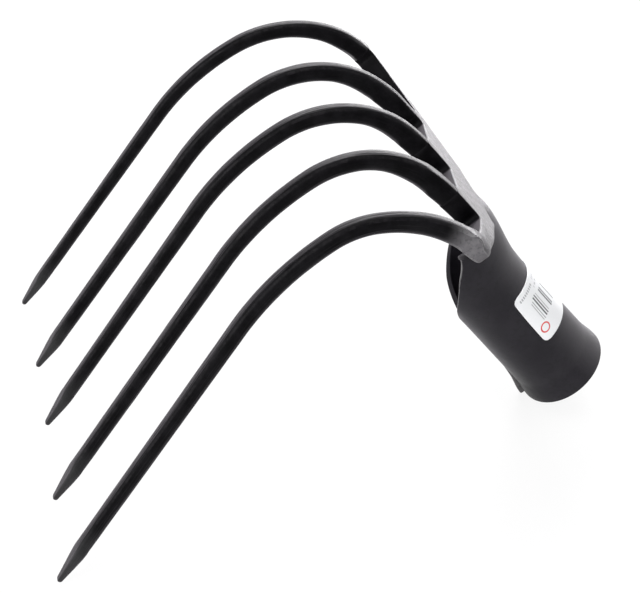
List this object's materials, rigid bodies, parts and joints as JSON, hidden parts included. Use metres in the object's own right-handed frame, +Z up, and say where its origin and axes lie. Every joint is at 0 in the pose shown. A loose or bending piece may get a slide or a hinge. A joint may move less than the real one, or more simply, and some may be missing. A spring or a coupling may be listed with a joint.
{
  "type": "garden cultivator head",
  "caption": "Hooked garden cultivator head: long curved tines on a fan-shaped plate with a round open-seamed handle socket",
  "frame": {"origin": "middle of the bounding box in X and Y, on the floor plane that the outer points and the socket's rim stand on", "axes": "+X from the points towards the socket, +Y across the tines towards tine_1, +Z up"},
  "size_m": [0.2686, 0.2044, 0.1645],
  "materials": {
    "socket": "satin black paint",
    "head_plate": "satin black paint",
    "tine_1": "satin black paint",
    "tine_2": "satin black paint",
    "tine_3": "satin black paint",
    "tine_4": "satin black paint",
    "tine_5": "satin black paint",
    "label": "satin white, plain"
  },
  "bodies": {
    "root": {"socket": "socket", "head_plate": "head_plate", "tine_1": "tine_1", "tine_2": "tine_2", "tine_3": "tine_3", "tine_4": "tine_4", "tine_5": "tine_5", "label": "label"}
  },
  "joints": []
}
